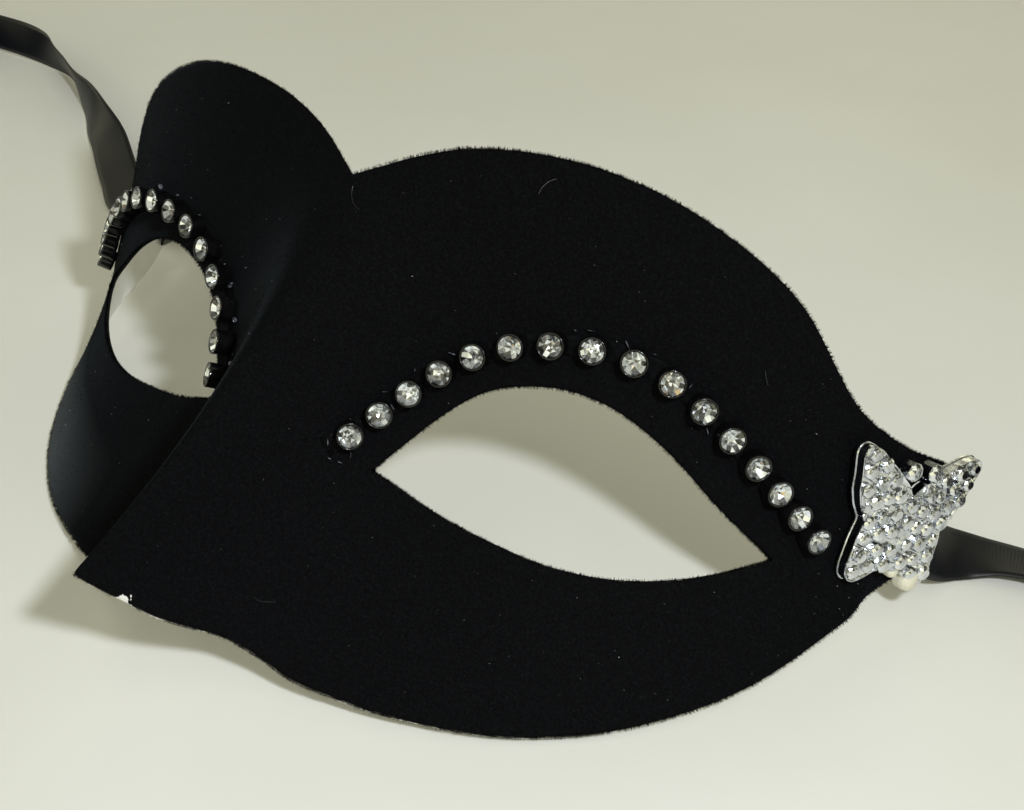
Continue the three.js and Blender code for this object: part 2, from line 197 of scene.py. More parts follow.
COIL_RADIUS, COIL_PITCH, COIL_STEP, COIL_HEIGHT = 31.0, 4, 22.5, 5.4
COILS = {"right": {"centre": (142, 88.2), "start": -90}, "left": {"centre": (-264, 87.2), "start": 90}}


def whole_route(side, route):
    coil = COILS[side]
    stops = [stop[:] for stop in route]
    radius = COIL_RADIUS
    walked = sum(math.dist(a[:3], b[:3]) for a, b in zip(stops, stops[1:]))
    angle = math.radians(coil["start"])
    step = math.radians(COIL_STEP)
    while walked < RIBBON_LENGTH / MM:
        angle += step
        radius -= COIL_PITCH * step / math.tau
        walked += radius * step
        stops.append([coil["centre"][0] + radius * math.cos(angle),
                      coil["centre"][1] + radius * math.sin(angle), COIL_HEIGHT, 90])
    return np.array(stops)


def ribbon_track(stops):
    walked = np.concatenate([[0], np.cumsum(np.linalg.norm(np.diff(stops[:, :3], axis=0), axis=1))])
    lines = [smooth_through(np.column_stack([walked, stops[:, k]])) for k in range(4)]
    fine = np.linspace(0, walked[-1], 2000)
    middle = np.column_stack([line(fine) for line in lines[:3]])
    true = np.concatenate([[0], np.cumsum(np.linalg.norm(np.diff(middle, axis=0), axis=1))])
    end = min(RIBBON_LENGTH / MM, true[-1])

    def at(distance):
        return np.column_stack([line(np.interp(distance, true, fine)) for line in lines])
    return at, end


# %% Ribbon mesh
def make_ribbon(side, route, material):
    at, end = ribbon_track(whole_route(side, route))
    columns, rows = 480, 8
    bm = bmesh.new()
    bm.loops.layers.uv.new("along")
    bmesh.ops.create_grid(bm, x_segments=columns, y_segments=rows, size=0.5, calc_uvs=True)
    along = np.array([v.co.x + 0.5 for v in bm.verts]) * end
    aside = np.array([v.co.y for v in bm.verts])
    middle = at(along)
    ahead = at(np.minimum(along + 0.4, end))[:, :3] - at(np.maximum(along - 0.4, 0))[:, :3]
    ahead /= np.linalg.norm(ahead, axis=1)[:, None]
    level = np.cross(ahead, (0, 0, 1))
    level /= np.linalg.norm(level, axis=1)[:, None]
    rising = np.cross(level, ahead)
    tilt = np.radians(middle[:, 3])[:, None]
    across = level * np.cos(tilt) + rising * np.sin(tilt)
    placed = middle[:, :3] + across * (aside * RIBBON_WIDTH)[:, None]
    for vert, place in zip(bm.verts, placed):
        vert.co = Vector(place) * MM + SHIFT
    bmesh.ops.recalc_face_normals(bm, faces=bm.faces)
    ribbon = new_piece(f"ribbon_{side}_satin", bm, [material])
    solid = ribbon.modifiers.new("thickness", "SOLIDIFY")
    solid.thickness = RIBBON_THICK * MM
    solid.offset = 0
    path = at(np.linspace(0, end, 90))[:, :3] * MM + np.array(SHIFT)
    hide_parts(f"ribbon_{side}", f"ribbon_{side}_coil")
    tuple(path[0])
    print(side, "ribbon:", round(float(end), 1), "mm")


def add_bump(tree, shader, height, strength, distance):
    bump = add_node(tree, "ShaderNodeBump", {"Height": height, "Strength": strength, "Distance": distance})
    tree.links.new(bump.outputs["Normal"], shader.inputs["Normal"])


# The cloth is woven with fine cords across and has a firm selvedge along both edges. The paler
# outer line along each edge is a painted highlight of light caught on the ribbon's edge, with a
# darker line inside it.
satin, satin_tree, satin_shader = new_material(
    "black_satin", Roughness=0.36, Anisotropic=0.6, Specular_IOR_Level=0.21, Sheen_Weight=0.02,
    Sheen_Roughness=0.4)
along_uv = add_node(satin_tree, "ShaderNodeAttribute", attribute_name="along").outputs["Vector"]
split = add_node(satin_tree, "ShaderNodeSeparateXYZ", {"Vector": along_uv})
aside = calculate(satin_tree, "ABSOLUTE", calculate(satin_tree, "SUBTRACT", split.outputs["Y"], 0.5))
# Painted highlight: a paler line along both edges, a darker line just inside it.
satin_tree.links.new(add_ramp(satin_tree, aside, [
    (0.0, (0.0028, 0.0034, 0.0056)), (0.42, (0.0028, 0.0034, 0.0056)), (0.45, (0.0014, 0.0016, 0.0022)),
    (0.475, (0.012, 0.0125, 0.0135)), (0.5, (0.009, 0.0095, 0.01))]), satin_shader.inputs["Base Color"])
wefts = add_node(satin_tree, "ShaderNodeTexWave", {
    "Vector": along_uv, "Scale": 260.0, "Distortion": 1.2, "Detail": 2.0, "Detail Scale": 3.0},
    bands_direction="X")
add_bump(satin_tree, satin_shader, wefts.outputs["Fac"], 0.25, 0.00006)
for side, route in (("right", ROUTE_RIGHT), ("left", ROUTE_LEFT)):
    make_ribbon(side, route, satin)

# %% [markdown]
# ## The moulded face
#
# The face is one smooth form. A place on it is given by its length along the face from the middle
# line and its height above the inner corners of the eyes, in millimetres. The face turns back
# towards the temples, leans forward at brow and cheek, and carries a sharp nose ridge that grows
# from the forehead down. The temple ends are flat tabs. The same numbers make the CAD shell.

# %% The face as a function
TAB_START, TAB_BLEND, TAB_HEIGHT = 97, 5, 18.5
FACE_REACH, FACE_RISE, TURN_STEPS = 88, 44, 24
LEAN_BACK = math.radians(36)
NOSE_DROOP = math.radians(19.7)
TO_TABLE = Matrix.Rotation(math.pi / 2 - LEAN_BACK, 3, "X")
TABLE_SHIFT = np.array([0, -5.13, 25.785852])


def curved_face(length, height):
    length, height = np.broadcast_arrays(np.asarray(length, float), np.asarray(height, float))
    rise = height / FACE_RISE
    turn = 0.533 + 0.018 * rise + 0.06 * rise ** 2
    curl = 0.434 + 0.091 * rise - 0.258 * rise ** 2
    t = length[..., None] * (np.arange(TURN_STEPS) + 0.5) / TURN_STEPS / FACE_REACH
    angle = turn[..., None] * t + curl[..., None] * t ** 3
    across = np.cos(angle).mean(-1) * length
    back = np.sin(angle).mean(-1) * length
    lean = 11.4 * rise ** 2 - 4.54 * rise ** 3
    down = np.clip((47 - height) / 57, 0, 1.3) ** 1.27
    blunt = 0.05 + 1.6 * np.maximum(0, 1 - down) ** 1.5
    nose = 38.8 * down * np.exp(blunt - np.hypot(length / 7.06, blunt))
    return np.stack([across, height - nose * math.sin(NOSE_DROOP),
                     lean - back + nose * math.cos(NOSE_DROOP)], -1)


def unit(vectors):
    return vectors / np.linalg.norm(vectors, axis=-1)[..., None]


def slopes(surface, length, height, e=0.1):
    along = unit(surface(length + e, height) - surface(length - e, height))
    up = unit(surface(length, height + e) - surface(length, height - e))
    out = unit(np.cross(along, up))
    return along, np.cross(out, along), out


tab_origin = curved_face(TAB_START, TAB_HEIGHT)
tab_along, tab_up, _ = slopes(curved_face, float(TAB_START), TAB_HEIGHT)


def face(length, height):
    length, height = np.broadcast_arrays(np.asarray(length, float), np.asarray(height, float))
    reach = np.abs(length)
    t = np.clip((reach - TAB_START + TAB_BLEND) / TAB_BLEND, 0, 1)
    flat = (t * t * (3 - 2 * t))[..., None]
    on_tab = (tab_origin + tab_along * (reach - TAB_START)[..., None]
              + tab_up * (height - TAB_HEIGHT)[..., None])
    point = curved_face(reach, height) * (1 - flat) + on_tab * flat
    point[..., 0] *= np.where(length < 0, -1, 1)
    return point


def to_table(points):
    return (np.asarray(points) @ np.array(TO_TABLE).T + TABLE_SHIFT) * MM + np.array(SHIFT)


def above(length, height, distance):
    out = slopes(face, length, height)[2]
    return to_table(face(length, height) + out * np.asarray(distance, float)[..., None])


def place_on_face(length, height, lift):
    """Where a small piece stands on the face: X runs along it, Y up it and Z out of it."""
    axes = [Vector(v @ np.array(TO_TABLE).T) for v in slopes(face, float(length), height)]
    return Matrix.Translation(above(length, height, lift)) @ Matrix(axes).transposed().to_4x4()


print("nose tip at", np.round(above(np.zeros(1), np.array([-10.0]), np.zeros(1))[0] / MM, 1))

# %% [markdown]
# ## Outlines
#
# The shell's rims and eye holes are smooth lines over the length along the face.

# %% Outlines of the shell
HALF_ARC = 106.5
END_ROUNDING = 5
top_edge = smooth_through([[0, 40.1], [3.3, 41.8], [8.7, 44.6], [16.3, 47.6], [27.2, 49.8],
                           [40.3, 50.3], [54.5, 47.8], [68.6, 41.9], [81.7, 31.1], [92.6, 28.1],
                           [101.3, 27.7], [106.5, 26.8]])
bottom_edge = smooth_through([[0, -10], [5.4, -20.4], [10.9, -25.7], [18.5, -31.1], [27.2, -32.4],
                              [38.1, -31.5], [51.2, -28.6], [65.4, -22.2], [78.5, -12.8],
                              [91.5, 0.4], [101.3, 8.8], [106.5, 12.4]])
eye_upper = smooth_through([[16.5, 0], [26.3, 13.8], [36.2, 19], [46, 19.6], [55.8, 16.4],
                            [65.7, 10.9], [75.5, 6.4]])
eye_lower = smooth_through([[16.5, 0], [26.3, -3.4], [36.2, -4.8], [46, -5], [55.8, -3.3],
                            [65.7, 0.6], [75.5, 6.4]])
EYE_INNER, EYE_OUTER = 16.5, 75.5


def rims(reach):
    middle = (top_edge(reach) + bottom_edge(reach)) / 2
    into_end = np.maximum(0, reach - HALF_ARC + END_ROUNDING) / (END_ROUNDING + 1.2)
    half = (top_edge(reach) - middle) * np.sqrt(1 - into_end ** 2)
    return middle - half, middle + half


def seams(reach):
    """The lines that the shell's lower and upper halves run to: the eye's edges, or one shared line."""
    low, high = rims(reach)
    inner = 6 * np.clip(1 - reach / EYE_INNER, 0, 1) ** 2
    t = np.clip((reach - EYE_OUTER) / (HALF_ARC - EYE_OUTER), 0, 1)
    outer = 6.4 + (19.6 - 6.4) * t * t * (3 - 2 * t)
    shared = np.where(reach <= EYE_INNER, inner, outer)
    at_eye = (reach > EYE_INNER) & (reach < EYE_OUTER)
    inside = np.clip(reach, EYE_INNER, EYE_OUTER)
    return np.where(at_eye, eye_lower(inside), shared), np.where(at_eye, eye_upper(inside), shared)


# %% [markdown]
# ## The shell
#
# The shell could be cut out with booleans, but those leave long thin triangles at the eyes. It is
# one grid instead, whose columns gather at the nose ridge and at the corners of the eyes. One row
# of the grid is opened: over an eye it becomes the hole, and elsewhere its two edges are merged
# again. A Solidify modifier gives the wall its thickness and the rims their own material, and one
# Subdivision level rounds the moulded edges.

# %% Shell mesh
SHELL_THICK = 1.0
COLUMN_BREAKS = [0, 2, 8, 16.5, 20, 70, 75.5, 102, 106.5]
COLUMN_COUNTS = [6, 8, 8, 5, 36, 6, 18, 6]
LOW_ROWS, HIGH_ROWS = 14, 20


def make_shell(materials):
    half = np.concatenate([np.linspace(a, b, n, endpoint=False) for a, b, n
                           in zip(COLUMN_BREAKS, COLUMN_BREAKS[1:], COLUMN_COUNTS)] + [[HALF_ARC]])
    lengths = np.concatenate([-half[:0:-1], half])
    columns, rows = len(lengths) - 1, LOW_ROWS + 1 + HIGH_ROWS
    bm = bmesh.new()
    bmesh.ops.create_grid(bm, x_segments=columns, y_segments=rows, size=0.5)
    column = np.array([round((v.co.x + 0.5) * columns) for v in bm.verts])
    row = np.array([round((v.co.y + 0.5) * rows) for v in bm.verts])
    length = lengths[column]
    low, high = rims(np.abs(length))
    lower, upper = seams(np.abs(length))
    height = np.where(row <= LOW_ROWS, low + (lower - low) * row / LOW_ROWS,
                      upper + (high - upper) * (row - LOW_ROWS - 1) / HIGH_ROWS)
    opened = [f for f in bm.faces
              if abs((f.calc_center_median().y + 0.5) * rows - LOW_ROWS - 0.5) < 0.4]
    bmesh.ops.delete(bm, geom=opened, context="FACES_ONLY")
    for vert, place in zip(bm.verts, to_table(face(length, height))):
        vert.co = place
    bmesh.ops.remove_doubles(bm, verts=bm.verts, dist=1e-6)
    loose = [e for e in bm.edges if not e.link_faces]
    bmesh.ops.delete(bm, geom=loose, context="EDGES")
    bmesh.ops.recalc_face_normals(bm, faces=bm.faces)
    lowest = min(bm.faces, key=lambda f: (abs(f.calc_center_median().x - 0.04)
                                          + abs(f.calc_center_median().y)))
    if lowest.normal.z < 0:
        bmesh.ops.reverse_faces(bm, faces=bm.faces)
    shell = new_piece("flocked_shell", bm, materials)
    wall = shell.modifiers.new("wall", "SOLIDIFY")
    wall.thickness = SHELL_THICK * MM
    wall.offset = -1
    wall.use_even_offset = False
    wall.material_offset = 1
    wall.material_offset_rim = 2
    wall.edge_crease_outer = 0.32
    soft = shell.modifiers.new("soft_edges", "SUBSURF")
    soft.levels = soft.render_levels = 1
    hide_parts("mask_shell")
    print("shell faces:", len(shell.data.polygons))


# %% [markdown]
# The flock is a pile of short black fibres. It swallows nearly all light, and only where it is seen
# at a flat angle do the fibre sides give a faint bluish sheen. The inside is the bare white sheet.
# The cut rim shows the sheet's edge under the pile in noisy patches, most of all along the lower rim.
# Its paleness is also painted light and shade: stronger low down and on the near half, which faces
# the lamp, and held dark on the far half.

# %% Shell materials
CHIP_PLACE = Vector((0.0045, -0.0473, 0.0215))
CHIP_RADIUS = 0.0028


def noise(tree, vector, scale, detail=2.0, roughness=0.5):
    return add_node(tree, "ShaderNodeTexNoise", {
        "Vector": vector, "Scale": scale, "Detail": detail, "Roughness": roughness}).outputs["Fac"]


def mottled_material(name, scale, stops, detail=2.0, grain=0.5, **sockets):
    """A material whose colour wanders over a few stops, by a noise on Object coordinates."""
    material, tree, shader = new_material(name, **sockets)
    spot = object_coordinates(tree)
    tree.links.new(add_ramp(tree, noise(tree, spot, scale, detail, grain), stops),
                   shader.inputs["Base Color"])
    return material, tree, shader, spot


def chipped(tree, spot, colour):
    """The colour, with the white sheet laid bare where the flock is chipped off."""
    away = add_node(tree, "ShaderNodeVectorMath", {0: spot, 1: CHIP_PLACE}, operation="DISTANCE")
    ragged = calculate(tree, "MULTIPLY_ADD", noise(tree, spot, 900.0), 0.0022, away.outputs["Value"])
    share = fade(tree, ragged, CHIP_RADIUS, CHIP_RADIUS + 0.0001, 1.0, 0.0)
    return mix(tree, share, colour, (0.72, 0.72, 0.7, 1))


flock, flock_tree, flock_shader = new_material(
    "black_flock", Roughness=1.0, Specular_IOR_Level=0.0, Sheen_Weight=0.042, Sheen_Roughness=0.34,
    Sheen_Tint=(0.7, 0.84, 1, 1))
spot = object_coordinates(flock_tree)
pile = noise(flock_tree, spot, 2400.0, 2.0, 0.7)
black = add_ramp(flock_tree, pile, [(0.3, (0.003, 0.003, 0.0035)), (0.55, (0.0043, 0.0044, 0.0052)),
                                    (0.75, (0.0068, 0.0071, 0.0084))])
# The left cheek's pile is painted greyer towards its outer, lower edge: a painted sheen where light grazes
# the pile there.
place = add_node(flock_tree, "ShaderNodeSeparateXYZ", {"Vector": spot})
outwards = fade(flock_tree, place.outputs["X"], -0.034, -0.055)
downwards = fade(flock_tree, place.outputs["Z"], 0.01, 0.0)
painted_cheek_sheen = calculate(flock_tree, "MULTIPLY", outwards, downwards)
black = mix(flock_tree, painted_cheek_sheen, black, (0.065, 0.075, 0.088, 1))
flock_tree.links.new(chipped(flock_tree, spot, black), flock_shader.inputs["Base Color"])
add_bump(flock_tree, flock_shader, pile, 0.6, 0.0002)

white_plastic, white_tree, white_shader, spot = mottled_material(
    "white_moulded_plastic", 90.0, [(0.36, (0.63, 0.62, 0.58)), (0.5, (0.69, 0.69, 0.67)),
                                    (0.7, (0.73, 0.73, 0.72))], detail=4.0, Roughness=0.42)
add_bump(white_tree, white_shader, noise(white_tree, spot, 400.0), 0.15, 0.0002)

cut_edge, edge_tree, edge_shader = new_material(
    "flocked_cut_edge", Roughness=0.9, Specular_IOR_Level=0.1)
spot = object_coordinates(edge_tree)
place = add_node(edge_tree, "ShaderNodeSeparateXYZ", {"Vector": spot})
# Painted light and shade on the cut edge: paler low down and on the near half, toward the lamp, dark on
# the far half.
lowness = fade(edge_tree, place.outputs["Z"], 0.004, 0.026, 0.13, 0.06)
near_half = fade(edge_tree, place.outputs["X"], -0.004, 0.004, -0.3, 0.0)
shine = calculate(edge_tree, "ADD", lowness, near_half)
wear_and_painted_light = calculate(edge_tree, "ADD", noise(edge_tree, spot, 260.0, 4.0, 0.7), shine)
pale_edge = add_ramp(edge_tree, wear_and_painted_light, [
    (0.57, (0.003, 0.003, 0.0032)), (0.65, (0.07, 0.065, 0.05)), (0.78, (0.3, 0.29, 0.25))])
edge_tree.links.new(chipped(edge_tree, spot, pale_edge), edge_shader.inputs["Base Color"])
make_shell([flock, white_plastic, cut_edge])

# %% [markdown]
# ## Loose fibres of the pile
#
# A smooth sheet would have razor edges, but flock stands out past every cut edge as a fine fuzz. One
# fibre is a thin three-sided spike. It is doubled again and again, each time shifted to the side, so
# that every copy can be told by its place, and then all copies are set on the mask at once.

# %% Fibres
FIBRE_DOUBLINGS = 14
COPY_STEP = 10.0


def many_copies(bm, doublings):
    for k in range(doublings):
        doubled = bmesh.ops.duplicate(bm, geom=bm.verts[:] + bm.edges[:] + bm.faces[:])
        fresh = [g for g in doubled["geom"] if isinstance(g, bmesh.types.BMVert)]
        bmesh.ops.translate(bm, verts=fresh, vec=(COPY_STEP * 2 ** k, 0, 0))


def rim_places(count, rng):
    """Places along all cut edges: length, height, and the way out of the sheet in its own surface."""
    half = count // 2
    reach = rng.uniform(0, 1, count)
    kind = rng.choice(4, count, p=(0.3, 0.3, 0.2, 0.2))
    outer = HALF_ARC * (1 - (1 - reach) ** 1.15)
    at_eye = EYE_INNER + (EYE_OUTER - EYE_INNER) * (0.5 - 0.5 * np.cos(np.pi * reach))
    length = np.where(kind < 2, outer, at_eye)

    def line(where):
        low, high = rims(where)
        inside = np.clip(where, EYE_INNER, EYE_OUTER)
        return np.choose(kind, (low, high, eye_lower(inside), eye_upper(inside)))
    height = line(length)
    rise = (line(length + 0.05) - line(length - 0.05)) / 0.1
    way = np.choose(kind, (-1, 1, 1, -1))
    side = np.where(np.arange(count) < half, 1, -1)
    return side * length, height, side * -rise * way, way


def make_fibres(material):
    rng = np.random.default_rng(7)
    bm = bmesh.new()
    bmesh.ops.create_cone(bm, cap_ends=True, segments=3, radius1=1, radius2=0.15, depth=1)
    bmesh.ops.translate(bm, verts=bm.verts, vec=(0, 0, 0.5))
    many_copies(bm, FIBRE_DOUBLINGS)
    spike = np.array([v.co for v in bm.verts])
    copy = np.round(spike[:, 0] / COPY_STEP).astype(int)
    spike[:, 0] -= copy * COPY_STEP
    total = 2 ** FIBRE_DOUBLINGS
    length, height, out_along, out_up = rim_places(total // 2 + total // 4, rng)
    field = total - len(length)
    field_length = rng.uniform(-HALF_ARC + 3, HALF_ARC - 3, field)
    low, high = rims(np.abs(field_length))
    lower, upper = seams(np.abs(field_length))
    share = rng.uniform(0.01, 0.99, field)
    open_height = upper - lower
    solid = (high - low) - open_height
    walked = share * solid
    field_height = np.where(walked < lower - low, low + walked, low + walked + open_height)
    length = np.concatenate([length, field_length])
    height = np.concatenate([height, field_height])
    spin = rng.uniform(0, math.tau, total)
    is_rim = np.arange(total) < total - field
    out_along = np.where(is_rim, np.pad(out_along, (0, field)), np.cos(spin))
    out_up = np.where(is_rim, np.pad(out_up, (0, field)), np.sin(spin))
    along, up, out = slopes(face, length, height)
    outward = unit(along * out_along[:, None] + up * out_up[:, None])
    lift = np.where(is_rim, rng.uniform(-0.1, 0.9, total), rng.uniform(1.0, 2.5, total))
    axis = unit(outward + out * lift[:, None] + rng.normal(0, 0.28, (total, 3)))
    root = (face(length, height) - out * np.where(is_rim, rng.uniform(0, 0.3, total), 0.05)[:, None]
            - outward * 0.12)
    first = unit(np.cross(axis, rng.normal(0, 1, (total, 3))))
    second = np.cross(axis, first)
    tall = np.where(is_rim, rng.uniform(0.26, 0.56, total), rng.uniform(0.25, 0.5, total))
    thick = rng.uniform(0.034, 0.07, total)
    on_chip = np.linalg.norm(to_table(root) - np.array(CHIP_PLACE), axis=1) < CHIP_RADIUS - 0.0008
    tall[on_chip], thick[on_chip] = 0.05, 0.005
    placed = (root[copy] + first[copy] * (spike[:, 0] * thick[copy])[:, None]
              + second[copy] * (spike[:, 1] * thick[copy])[:, None]
              + axis[copy] * (spike[:, 2] * tall[copy])[:, None])
    for vert, place in zip(bm.verts, to_table(placed)):
        vert.co = place
    bmesh.ops.recalc_face_normals(bm, faces=bm.faces)
    fibres = new_piece("flock_fibres", bm, [material], smooth=False)
    print("fibre faces:", len(fibres.data.polygons))


make_fibres(mottled_material(
    "loose_flock_fibres", 900.0, [(0.4, (0.001, 0.001, 0.0012)), (0.65, (0.006, 0.006, 0.0065))],
    Roughness=1.0, Specular_IOR_Level=0.0)[0])

# %% [markdown]
# ## Lint, hairs and glue
#
# Black flock shows every bit of dust. A few pale curved hairs lie on the brow and the cheek, fine
# specks are spread over the pile, and dried glue shows as short shiny strokes beside the stones.

# %% Lint and hairs
HAIRS = [[(29, 44.6), (29.4, 45.8), (30.2, 46.8), (31, 47.3)],
         [(1.5, 38.5), (2.1, 37.3), (3, 36.3), (4.2, 35.8)],
         [(-24, -22.2), (-22.6, -22.6), (-21, -22.5), (-19.2, -21.9)],
         [(66, 31.8), (66.3, 31), (66.9, 30)],
         [(10.6, -19.6), (11.5, -20.4), (12.9, -20.6)]]
HAIR_RADIUS = 0.018
LINT, LINT_LIFT = 320, 0.42


def add_strand(bm, path, radius, sides=4):
    """A thin round strand: a grid wrapped into a tube along the path."""
    before = set(bm.verts)
    bmesh.ops.create_grid(bm, x_segments=14, y_segments=sides, size=0.5)
    fresh = [v for v in bm.verts if v not in before]
    stops = np.array(path, float)
    at = [smooth_through(np.column_stack([np.arange(len(stops)), stops[:, k]])) for k in range(3)]
    u = (np.array([v.co.x for v in fresh]) + 0.5) * (len(stops) - 1)
    angle = np.array([v.co.y for v in fresh]) * math.tau
    middle = np.column_stack([line(u) for line in at])
    ahead = unit(np.column_stack([line(u + 0.05) - line(u - 0.05) for line in at]))
    level = unit(np.cross(ahead, (0.3, 0.2, 0.93)))
    rising = np.cross(level, ahead)
    placed = middle + radius * (level * np.cos(angle)[:, None] + rising * np.sin(angle)[:, None])
    for vert, place in zip(fresh, placed):
        vert.co = Vector(place) * MM
    bmesh.ops.remove_doubles(bm, verts=fresh, dist=1e-7)
    bmesh.ops.holes_fill(bm, edges=[e for e in bm.edges if e.is_boundary], sides=sides)


def make_lint(material):
    rng = np.random.default_rng(21)
    bm = bmesh.new()
    for hair in HAIRS:
        length, height = np.array(hair, float).T
        lift = 0.35 + 0.25 * np.sin(np.linspace(0.4, 2.6, len(hair)))
        add_strand(bm, above(length, height, lift) / MM, HAIR_RADIUS)
    length = rng.uniform(-95, 100, LINT)
    low, high = rims(np.abs(length))
    height = low + (high - low) * rng.uniform(0.04, 0.96, LINT)
    lower, upper = seams(np.abs(length))
    on_face = (height < lower - 1) | (height > upper + 1)
    for s, v, size, turned in zip(length[on_face], height[on_face], rng.uniform(0.06, 0.17, LINT),
                                  rng.uniform(0, math.tau, LINT)):
        fresh = bmesh.ops.create_cone(bm, cap_ends=True, segments=4, radius1=0.35, radius2=0.2,
                                      depth=1.6)["verts"]
        place = Vector(above(s, v, LINT_LIFT))
        bmesh.ops.transform(bm, verts=fresh, matrix=Matrix.Translation(place)
                            @ Matrix.Rotation(turned, 4, "Z") @ Matrix.Rotation(1.3, 4, "X")
                            @ Matrix.Scale(size * MM, 4))
    bmesh.ops.recalc_face_normals(bm, faces=bm.faces)
    lint = new_piece("lint_and_hairs", bm, [material])
    print("lint faces:", len(lint.data.polygons))


make_lint(mottled_material(
    "pale_lint", 160.0, [(0.35, (0.03, 0.031, 0.036)), (0.55, (0.1, 0.105, 0.12)),
                         (0.7, (0.5, 0.5, 0.5))], Roughness=0.8)[0])

# %% [markdown]
# Along the lower rim the pile is worn off the very edge, and the white sheet shows there as a thin
# broken line. It is modelled as a strand close beside the rim, in stretches with pile between them.

# %% Worn edge
WORN = [(4.2, 10, 0.11), (12, 22, 0.07), (23, 42, 0.1), (43, 62, 0.07)]


def make_worn_edge(material):
    bm = bmesh.new()
    for start, end, radius in WORN:
        length = np.linspace(start, end, 8)
        path = above(length, rims(length)[0] - 0.05, np.full(8, -0.12)) / MM
        add_strand(bm, path, radius)
    bmesh.ops.recalc_face_normals(bm, faces=bm.faces)
    worn_edge = new_piece("worn_edge", bm, [material])
    print("worn edge faces:", len(worn_edge.data.polygons))


make_worn_edge(mottled_material(
    "bare_sheet_edge", 420.0, [(0.4, (0.015, 0.015, 0.014)), (0.52, (0.2, 0.19, 0.16)),
                               (0.66, (0.46, 0.45, 0.4))], detail=3.0, Roughness=0.7)[0])

# %% [markdown]
# ## The row of cups
#
# The stones come as a bought trim: a flat black band with a cup for each stone. The trim is glued on
# by hand, so the steps between its sixteen cups vary a little, and each side has its own line.
#
# The band is a grid just above the flock, thickened downwards, so its lower half is inside the shell's
# wall. The cups are separate closed shapes that stand a little over it.

# %% Places along the rows
STONES = 16
GAP, CUP_SINK = 0.3, 0.25
CUP_RADIUS, CUP_BORE, CUP_HEIGHT, CUP_FLOOR = 2.0, 1.72, 2.75, 0.8
ROW_LINES = {
    "right": (1, [[12.3, 5.1], [25.7, 20.2], [39.2, 26.3], [52.6, 26.6], [66.1, 20.2], [79.5, 11.8]],
              [[0, 0], [3, 17.1], [6, 34.6], [9, 52], [12, 68.4], [15, 82.6]],
              [[0, 0], [7, 0], [11, 9], [15, 14]]),
    "left": (-1, [[13, 5], [18, 13.4], [27.9, 21.5], [40.1, 25.1], [52, 25.3], [66, 21.2], [83.2, 10.2]],
             [[0, 0], [3, 17.9], [6, 37.2], [9, 57.2], [12, 71.5], [15, 84.9]],
             [[0, -5], [7, -5], [11, -8], [15, -13]])}


class Row:
    """One line of stones over an eye, walked by true distance along the face."""

    def __init__(self, side, line, spacing, leans):
        self.side, self.line = side, smooth_through(line)
        self.lengths = np.linspace(line[0][0], line[-1][0], 201)
        points = face(self.lengths, self.line(self.lengths))
        steps = np.linalg.norm(np.diff(points, axis=0), axis=1)
        self.walked = np.concatenate([[0], np.cumsum(steps)])
        self.whole = self.walked[-1]
        self.stones = smooth_through(spacing)(np.arange(STONES))
        self.leans = np.radians(smooth_through(leans)(np.arange(STONES)))

    def along(self, walked):
        inside = np.interp(walked, self.walked, self.lengths)
        return inside + np.minimum(walked, 0) * 0.75 + np.maximum(walked - self.whole, 0) * 0.8

    def beside(self, walked, aside, distance):
        walked = np.asarray(walked, float)
        here, there = self.along(walked), self.along(walked + 0.2)
        point = face(self.side * here, self.line(here))
        ahead = unit(face(self.side * there, self.line(there)) - point)
        out = slopes(face, self.side * here, self.line(here))[2]
        across = unit(np.cross(out, ahead))
        return to_table(point + across * np.asarray(aside, float)[..., None]
                        + out * np.asarray(distance, float)[..., None])

    def place(self, number):
        """Where one cup stands, in millimetres: Z stands on the face and leans along X, outwards."""
        walked, lean = float(self.stones[number]), float(self.leans[number])
        lift = GAP + CUP_SINK + CUP_RADIUS * abs(math.sin(lean)) / 2
        foot = Vector(self.beside(walked, 0.0, lift))
        z = (Vector(self.beside(walked, 0.0, lift + 1)) - foot).normalized()
        y = (Vector(self.beside(walked, 1.0, lift)) - foot).normalized()
        turned = Matrix((y.cross(z), y, z)).transposed().to_4x4()
        return Matrix.Translation(foot) @ turned @ Matrix.Rotation(lean, 4, "Y") @ Matrix.Scale(MM, 4)


rows = {label: Row(*numbers) for label, numbers in ROW_LINES.items()}
print("row lengths:", {label: round(float(row.whole), 1) for label, row in rows.items()})

# %% Cup and band
CUP_PROFILE = [(0, 0), (CUP_RADIUS - 0.1, 0), (CUP_RADIUS, 0.12), (CUP_RADIUS, 0.5),
               (CUP_RADIUS, CUP_HEIGHT - 0.4), (CUP_RADIUS, CUP_HEIGHT - 0.13),
               (CUP_RADIUS - 0.04, CUP_HEIGHT - 0.04), (CUP_RADIUS - 0.13, CUP_HEIGHT),
               (CUP_BORE + 0.06, CUP_HEIGHT - 0.02), (CUP_BORE, CUP_HEIGHT - 0.1),
               (CUP_BORE, CUP_FLOOR + 0.1), (CUP_BORE - 0.1, CUP_FLOOR), (0, CUP_FLOOR)]
STRIP_WIDTH, STRIP_THICK, STRIP_OVERHANG = 3.0, 0.6, 0.4


def spin_profile(bm, profile, steps):
    verts = [bm.verts.new((radius, 0, height)) for radius, height in profile]
    edges = [bm.edges.new(pair) for pair in zip(verts, verts[1:])]
    bmesh.ops.spin(bm, geom=verts + edges, cent=(0, 0, 0), axis=(0, 0, 1), angle=math.tau,
                   steps=steps, use_merge=True)
    bmesh.ops.remove_doubles(bm, verts=bm.verts, dist=1e-5)
    bmesh.ops.recalc_face_normals(bm, faces=bm.faces)


